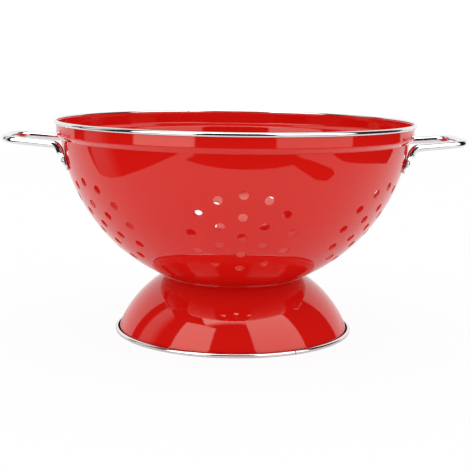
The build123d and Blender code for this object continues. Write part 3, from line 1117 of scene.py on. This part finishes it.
def waviness_group():
    """Slow swells and a fine skin texture as one height, the skin with its own share."""
    group, given = new_group(
        "Surface Waviness", {"Swell Scale": 45.0, "Skin Scale": 700.0, "Skin Share": 0.2}
    )
    where = group.nodes.new("ShaderNodeTexCoord").outputs["Object"]
    swell = noise(group, where, given["Swell Scale"], detail=1.0, roughness=0.4)
    skin = noise(group, where, given["Skin Scale"], detail=1.5, roughness=0.5)
    skin_part = math_node(group, "MULTIPLY", skin, given["Skin Share"])
    return put_out(group, {"Height": math_node(group, "ADD", swell, skin_part)})


def lines_group():
    """Fine polishing lines that run along a piece, read from its UV map in metres."""
    group, given = new_group("Polishing Lines", {"Line Width": 9000.0, "Line Length": 60.0})
    where = add_node(group, "ShaderNodeUVMap", uv_map="along").outputs["UV"]
    parts = add_node(group, "ShaderNodeSeparateXYZ", {"Vector": where}).outputs
    stretched = add_node(group, "ShaderNodeCombineXYZ", {
        "X": math_node(group, "MULTIPLY", parts["X"], given["Line Length"]),
        "Y": math_node(group, "MULTIPLY", parts["Y"], given["Line Width"]),
    })
    lines = noise(group, stretched.outputs["Vector"], 1.0, detail=3.0, roughness=0.7)
    return put_out(group, {"Lines": lines})


GROUP_MAKERS = {
    "Handling Marks": handling_group,
    "Surface Waviness": waviness_group,
    "Polishing Lines": lines_group,
}


def place_group(tree, name, **values):
    """Places a shared node group, made at its first use, and sets its inputs.

    An underscore in an input's name stands for a space. Returns the outputs.
    """
    group = bpy.data.node_groups.get(name) or GROUP_MAKERS[name]()
    inputs = {label.replace("_", " "): value for label, value in values.items()}
    return add_node(tree, "ShaderNodeGroup", inputs, node_tree=group).outputs


def mask_value(tree, name):
    """The value of a piece's mask, 0 where a piece has none of that name."""
    return add_node(tree, "ShaderNodeAttribute", attribute_name=name).outputs["Fac"]


def finish_material(material, tree, inputs):
    """Ends a material's tree with one shader that has those inputs. Returns the material."""
    shader = add_node(tree, "ShaderNodeBsdfPrincipled", inputs)
    add_node(tree, "ShaderNodeOutputMaterial", {"Surface": shader.outputs["BSDF"]})
    return material


def red_enamel(finishes):
    """Glossy red enamel with a slight orange peel, deeper in colour at the holes' edges, and painted nearly
    black and dull down in the foot's crevice: painted shade, with the bare dark steel of the sheet's edge.
    """
    name = "glossy red enamel"
    if name in bpy.data.materials:
        return bpy.data.materials[name]
    material = bpy.data.materials.new(name)
    tree = bare_tree(material)
    marks = place_group(
        tree, "Handling Marks", Smudge_Scale=22.0, Roughness_Low=0.035, Roughness_High=0.06
    )
    waves = place_group(
        tree, "Surface Waviness", Swell_Scale=55.0, Skin_Scale=650.0, Skin_Share=0.12
    )
    # The shade mask paints the foot's crevice nearly black and takes away its gloss: painted shade and a
    # painted dimming of its reflection, with the bare dark steel of the sheet's edge
    shade = mask_value(tree, "shade")
    smudged = math_node(tree, "MULTIPLY", marks["Smudge"], SMUDGE_DEPTH)
    edged = math_node(tree, "MULTIPLY", mask_value(tree, "edge"), EDGE_DEPTH)
    depth = math_node(tree, "ADD", smudged, edged)
    coat = mix_colour(tree, depth, tuple(finishes.enamel), tuple(finishes.enamel_deep))
    unshaded = math_node(tree, "SUBTRACT", 1.0, shade)
    return finish_material(material, tree, {
        "Base Color": mix_colour(tree, shade, coat, tuple(finishes.crevice)),
        "Roughness": marks["Roughness"],
        "Normal": bump(tree, waves["Height"], ENAMEL_BUMP, ENAMEL_SWELL),
        "IOR": ENAMEL_IOR,
        "Specular IOR Level": math_node(tree, "MULTIPLY", unshaded, ENAMEL_GLOSS),
        "Specular Tint": ENAMEL_TINT,
    })


def bright_metal(name, finishes):
    """Bright metal with faint wipe marks, slow swells and, where it has depth, lines along the piece."""
    if name in bpy.data.materials:
        return bpy.data.materials[name]
    colour_name, low, high, line_depth = METALS[name]
    tint = tuple(getattr(finishes, colour_name))
    material = bpy.data.materials.new(name)
    tree = bare_tree(material)
    marks = place_group(
        tree, "Handling Marks", Smudge_Scale=40.0, Roughness_Low=low, Roughness_High=high
    )
    height = place_group(
        tree, "Surface Waviness", Swell_Scale=120.0, Skin_Scale=1500.0, Skin_Share=0.1
    )["Height"]
    if line_depth:
        lines = place_group(tree, "Polishing Lines")["Lines"]
        height = math_node(tree, "ADD", height, math_node(tree, "MULTIPLY", lines, line_depth))
    dull = tuple(channel * DULL_SHARE for channel in tint)
    return finish_material(material, tree, {
        "Base Color": mix_colour(tree, marks["Smudge"], tint, dull),
        "Roughness": marks["Roughness"],
        "Normal": bump(tree, height, METAL_BUMP, METAL_SWELL),
        "Metallic": 1,
    })


# Stage

# What the table's outline is, seen from above, in metres from the object's axis: the front edge
# just out of the picture, a gap on its right, and sides that widen behind the object
TABLE_OUTLINE = (
    (-0.313, -0.40), (-0.290, -0.50), (-0.215, -0.50), (-0.235, -0.413), (-0.133, -0.398), (0.0, -0.387),
    (0.147, -0.380), (0.222, -0.380), (0.233, -0.240), (0.258, -0.206), (0.318, -0.206), (0.345, -0.240),
    (0.335, -0.340), (0.290, -0.470), (0.510, -0.400), (0.447, -0.227), (0.500, -0.067), (0.533, 0.040),
    (0.547, 0.160), (0.733, 0.320), (1.6, 0.75), (1.6, 1.6), (-1.6, 1.6), (-1.6, 0.58), (-0.693, 0.167),
    (-0.493, 0.067), (-0.385, 0.008), (-0.347, -0.053), (-0.333, -0.120), (-0.320, -0.253),
)
TABLE_PAINT = (0.9, 0.9, 0.9)
# How much of the white top's own glow each kind of ray sees, the rest being lit and shadowed paint
GLOW_SHARES = {
    "Is Camera Ray": 0.93, "Is Transmission Ray": 0.93, "Is Glossy Ray": 0.1, "Is Diffuse Ray": 0.5,
}
WHITE = (1, 1, 1)
# How bright matt surfaces and a straight look find the surroundings, and the studio's dark parts
PLAIN_LEVEL, WHITE_LEVEL, DARK_LEVEL = 1.0, 1.0, 0.015
# How far a soft edge reaches to each side of its place
EDGE_SOFTNESS = 0.02
SOFT_ENDS = (EDGE_SOFTNESS, EDGE_SOFTNESS)
# The lamps that glossy surfaces mirror: turn and tilt in degrees, sides and heights as tangents,
# the brightness, and by what share of it the lamp brightens for each tangent of height
PANELS = {
    "left window lamp": {
        "turn": -37, "tilt": 4, "sides": (-0.575, 0.185), "heights": (-0.32, 1.15),
        "level": 2.6, "rising": 0.2,
    },
    "right window lamp": {
        "turn": 36, "tilt": 9, "sides": (-0.235, 0.825), "heights": (-0.42, 1.30),
        "level": 1.8, "rising": 0.6,
    },
    "side sheet": {
        "turn": -97, "tilt": 0, "sides": (-0.22, 0.1), "heights": (-0.65, 1.0),
        "level": 0.62, "rising": 0.9, "soft_sides": (0.04, 0.14),
    },
    "ceiling lamp": {
        "turn": 0, "tilt": 90, "sides": (-0.5, 0.3), "heights": (-0.55, 0.02),
        "level": 2.6, "rising": -1.2, "soft_sides": (0.02, 0.2), "soft_heights": (0.07, 0.02),
    },
}
# The backdrop's two ends, as turns from the camera's side to the right, and its top, in degrees
BACKDROP_ENDS = (-122.0, 124.0)
BACKDROP_TOP = 80.0
# The overhead lamp: width and depth, power, place and its tilt in degrees
LAMP_SIZE = (1.6, 1.2)
LAMP_POWER = 3.0
LAMP_PLACE = (0.0, -0.25, 1.4)
LAMP_TILT = -10
# The camera's sensor in millimetres
SENSOR_WIDTH = 36


def smooth_edge(tree, value, place, softness=EDGE_SOFTNESS):
    """Rises smoothly from 0 to 1 where the value passes a place."""
    inputs = {"Value": value, "From Min": place - softness, "From Max": place + softness}
    node = add_node(tree, "ShaderNodeMapRange", inputs, interpolation_type="SMOOTHSTEP")
    return node.outputs["Result"]


def band(tree, value, ends, softness=SOFT_ENDS):
    """1 where the value lies between two ends, with soft edges, and 0 elsewhere."""
    past_low, past_high = (smooth_edge(tree, value, *end) for end in zip(ends, softness))
    return math_node(tree, "MULTIPLY", past_low, math_node(tree, "SUBTRACT", 1.0, past_high))


def along(tree, direction, axis):
    """Dot product of a direction with a fixed one."""
    inputs = {0: direction, 1: axis}
    return add_node(tree, "ShaderNodeVectorMath", inputs, operation="DOT_PRODUCT").outputs["Value"]


def panel_light(
    tree, direction, turn, tilt, sides, heights, level, rising,
    soft_sides=SOFT_ENDS, soft_heights=SOFT_ENDS,
):
    """A flat square-cornered lamp seen from the object's place.

    It faces the object from a turn (from the camera's side towards the right) and a tilt above
    level. A direction meets its plane at its sideways and upward parts over its part towards the
    lamp, and the lamp's sides and heights are given in these tangents. Its brightness changes
    with the height by the rising share.
    """
    turn, tilt = math.radians(turn), math.radians(tilt)
    towards = (math.cos(tilt) * math.sin(turn), -math.cos(tilt) * math.cos(turn), math.sin(tilt))
    sideways = (math.cos(turn), math.sin(turn), 0.0)
    upward = (-math.sin(tilt) * math.sin(turn), math.sin(tilt) * math.cos(turn), math.cos(tilt))
    ahead = along(tree, direction, towards)
    across = math_node(tree, "DIVIDE", along(tree, direction, sideways), ahead)
    above = math_node(tree, "DIVIDE", along(tree, direction, upward), ahead)
    in_width, in_height = band(tree, across, sides, soft_sides), band(tree, above, heights, soft_heights)
    inside = math_node(tree, "MULTIPLY", in_width, in_height)
    inside = math_node(tree, "MULTIPLY", inside, math_node(tree, "GREATER_THAN", ahead, 0.0))
    bright = math_node(tree, "MULTIPLY", above, level * rising)
    return math_node(tree, "MULTIPLY", inside, math_node(tree, "ADD", bright, level))


def studio_level(tree):
    """What a mirror sees round the table: a white backdrop that sweeps up behind, two window lamps,
    a side sheet, a ceiling lamp, and otherwise a dark room. Returns the brightness."""
    direction = tree.nodes.new("ShaderNodeTexCoord").outputs["Generated"]
    parts = add_node(tree, "ShaderNodeSeparateXYZ", {"Vector": direction}).outputs
    rise = math_node(tree, "ARCSINE", parts["Z"])
    turn = math_node(tree, "ARCTAN2", parts["X"], math_node(tree, "MULTIPLY", parts["Y"], -1.0))
    lights = [panel_light(tree, direction, **panel) for panel in PANELS.values()]
    in_front = band(tree, turn, [math.radians(end) for end in BACKDROP_ENDS])
    overhead = smooth_edge(tree, rise, math.radians(BACKDROP_TOP))
    backdrop = math_node(tree, "SUBTRACT", 1.0, highest(tree, [in_front, overhead]))
    return highest(tree, [*lights, backdrop, DARK_LEVEL])


def build_world():
    """White to the camera, an even pale light to matt surfaces, and the studio to glossy ones."""
    world = bpy.data.worlds.new("plain studio")
    bpy.context.scene.world = world
    tree = bare_tree(world)
    ray = tree.nodes.new("ShaderNodeLightPath").outputs
    plain, studio, white = (
        add_node(tree, "ShaderNodeBackground", {"Color": WHITE, "Strength": level}).outputs[0]
        for level in (PLAIN_LEVEL, studio_level(tree), WHITE_LEVEL)
    )
    scattered = mix_shader(tree, ray["Is Glossy Ray"], plain, studio)
    straight = highest(tree, [ray["Is Camera Ray"], ray["Is Transmission Ray"]])
    surface = mix_shader(tree, straight, scattered, white)
    add_node(tree, "ShaderNodeOutputWorld", {"Surface": surface})


def build_table():
    """A white table top that keeps the object's shadow, and that a view from below sees through."""
    mesh = bpy.data.meshes.new("white_table")
    mesh.from_pydata([(x, y, 0) for x, y in TABLE_OUTLINE], [], [tuple(range(len(TABLE_OUTLINE)))])
    table = bpy.data.objects.new("white_table", mesh)
    bpy.context.collection.objects.link(table)
    material = bpy.data.materials.new("white table top")
    tree = bare_tree(material)
    ray = tree.nodes.new("ShaderNodeLightPath").outputs
    matt = add_node(tree, "ShaderNodeBsdfDiffuse", {"Color": TABLE_PAINT}).outputs[0]
    glow = tree.nodes.new("ShaderNodeEmission").outputs[0]
    glow_shares = [math_node(tree, "MULTIPLY", ray[kind], part) for kind, part in GLOW_SHARES.items()]
    paint = mix_shader(tree, highest(tree, glow_shares), matt, glow)
    backfacing = tree.nodes.new("ShaderNodeNewGeometry").outputs["Backfacing"]
    below = math_node(tree, "MULTIPLY", backfacing, ray["Is Camera Ray"])
    clear = tree.nodes.new("ShaderNodeBsdfTransparent").outputs[0]
    surface = mix_shader(tree, below, paint, clear)
    add_node(tree, "ShaderNodeOutputMaterial", {"Surface": surface})
    mesh.materials.append(material)


def build_lamp():
    """One wide soft lamp overhead, which only matt surfaces see."""
    lamp = bpy.data.lights.new("overhead lamp", "AREA")
    lamp.shape = "RECTANGLE"
    lamp.size, lamp.size_y = LAMP_SIZE
    lamp.energy = LAMP_POWER
    holder = bpy.data.objects.new("overhead lamp", lamp)
    holder.location = LAMP_PLACE
    holder.rotation_euler = (math.radians(LAMP_TILT), 0, 0)
    holder.visible_glossy = False
    bpy.context.collection.objects.link(holder)


def build_camera(stage):
    """The photograph's view: from a little left of straight on, looking slightly down at the axis."""
    heading = Vector((-math.sin(stage.turn), math.cos(stage.turn), 0))
    forward = (heading * math.cos(stage.pitch) - Vector((0, 0, math.sin(stage.pitch)))).normalized()
    right = forward.cross(Vector((0, 0, 1))).normalized()
    up = right.cross(forward)
    facing = Matrix((right, up, -forward)).transposed() @ Matrix.Rotation(stage.roll, 3, "Z")
    data = bpy.data.cameras.new("camera")
    data.lens = stage.lens
    data.sensor_width = SENSOR_WIDTH
    data.shift_x = stage.shift
    camera = bpy.data.objects.new("camera", data)
    place = -heading * stage.distance
    camera.matrix_world = Matrix.Translation((place.x, place.y, stage.height)) @ facing.to_4x4()
    bpy.context.collection.objects.link(camera)
    bpy.context.scene.camera = camera


# Operators

class ColanderOperator:
    """What the operators share: they can be undone."""

    bl_options = {"REGISTER", "UNDO"}


class COLANDER_OT_bowl(ColanderOperator, bpy.types.Operator):
    """Build the perforated enamelled bowl."""

    bl_idname = "colander.bowl"
    bl_label = "Bowl"

    def execute(self, context):
        scene = context.scene
        build_bowl(
            scene.colander_bowl, scene.colander_beads, scene.colander_handles,
            red_enamel(scene.colander_finishes),
        )
        return {"FINISHED"}


class COLANDER_OT_foot(ColanderOperator, bpy.types.Operator):
    """Build the flared enamelled foot."""

    bl_idname = "colander.foot"
    bl_label = "Foot"

    def execute(self, context):
        scene = context.scene
        build_foot(
            scene.colander_bowl, scene.colander_foot, scene.colander_beads,
            red_enamel(scene.colander_finishes),
        )
        return {"FINISHED"}


class COLANDER_OT_beads(ColanderOperator, bpy.types.Operator):
    """Build the rolled steel beads of the rim and the foot."""

    bl_idname = "colander.beads"
    bl_label = "Rolled Beads"

    def execute(self, context):
        scene = context.scene
        beads = scene.colander_beads
        steel = bright_metal("polished rolled steel", scene.colander_finishes)
        rim, base = (
            bead_outline(*place, fit=beads.fit, **bead_sizes(beads, prefix))
            for prefix, place in (
                ("rim", (RIM_RADIUS, TOP, -RIM_BEAD_HEIGHT, scene.colander_bowl.wall)),
                ("base", (BASE_RADIUS, 0, BASE_BEAD_HEIGHT, scene.colander_foot.wall)),
            )
        )
        build_bead("rim_roll", "rim_bead", rim, beads.rim_seam_at, beads, steel)
        build_bead("foot_roll", "foot_bead", base, beads.base_seam_at, beads, steel)
        return {"FINISHED"}


class COLANDER_OT_handles(ColanderOperator, bpy.types.Operator):
    """Build the two bent rod handles."""

    bl_idname = "colander.handles"
    bl_label = "Rod Handles"

    def execute(self, context):
        scene = context.scene
        bowl, handles = scene.colander_bowl, scene.colander_handles
        chrome = bright_metal("bright chrome plate", scene.colander_finishes)
        build_handle("right_rod_handle", "handle_right", 1, bowl, handles, chrome)
        build_handle("left_rod_handle", "handle_left", -1, bowl, handles, chrome)
        return {"FINISHED"}


class COLANDER_OT_rivets(ColanderOperator, bpy.types.Operator):
    """Build the four set rivets."""

    bl_idname = "colander.rivets"
    bl_label = "Rivets"

    def execute(self, context):
        scene = context.scene
        bowl, handles = scene.colander_bowl, scene.colander_handles
        steel = bright_metal("tumbled rivet steel", scene.colander_finishes)
        for name, seat in rivet_seats(bowl, handles).items():
            build_rivet(name, seat, bowl, handles, steel)
        return {"FINISHED"}


class COLANDER_OT_stage(ColanderOperator, bpy.types.Operator):
    """Build the camera, the white table and the plain soft light."""

    bl_idname = "colander.stage"
    bl_label = "Stage"

    def execute(self, context):
        scene = context.scene
        build_camera(scene.colander_stage)
        build_world()
        build_table()
        build_lamp()
        scene.view_settings.view_transform = "Standard"
        return {"FINISHED"}


OPERATORS = (
    COLANDER_OT_stage,
    COLANDER_OT_bowl,
    COLANDER_OT_foot,
    COLANDER_OT_beads,
    COLANDER_OT_handles,
    COLANDER_OT_rivets,
)


class COLANDER_PT_panel(bpy.types.Panel):
    """Lists the colander's pieces and their sizes in the sidebar."""

    bl_label = "Footed Colander"
    bl_idname = "COLANDER_PT_panel"
    bl_space_type = "VIEW_3D"
    bl_region_type = "UI"
    bl_category = "Colander"

    def draw(self, context):
        for operator in OPERATORS:
            self.layout.operator(operator.bl_idname)
        for attribute, group in GROUPS.items():
            box = self.layout.box()
            box.label(text=group.__doc__)
            for label in group.__annotations__:
                box.prop(getattr(context.scene, attribute), label)


CLASSES = (*GROUPS.values(), *OPERATORS, COLANDER_PT_panel)


def register():
    """Registers the classes and hangs the property groups on the scene."""
    for item in CLASSES:
        bpy.utils.register_class(item)
    for attribute, group in GROUPS.items():
        setattr(bpy.types.Scene, attribute, bpy.props.PointerProperty(type=group))


def unregister():
    """Takes away what register added."""
    for attribute in GROUPS:
        delattr(bpy.types.Scene, attribute)
    for item in reversed(CLASSES):
        bpy.utils.unregister_class(item)


def main():
    """Builds the stage and every piece."""
    register()
    bpy.ops.colander.stage()
    bpy.ops.colander.bowl()
    bpy.ops.colander.foot()
    bpy.ops.colander.beads()
    bpy.ops.colander.handles()
    bpy.ops.colander.rivets()


if __name__ == "__main__":
    main()
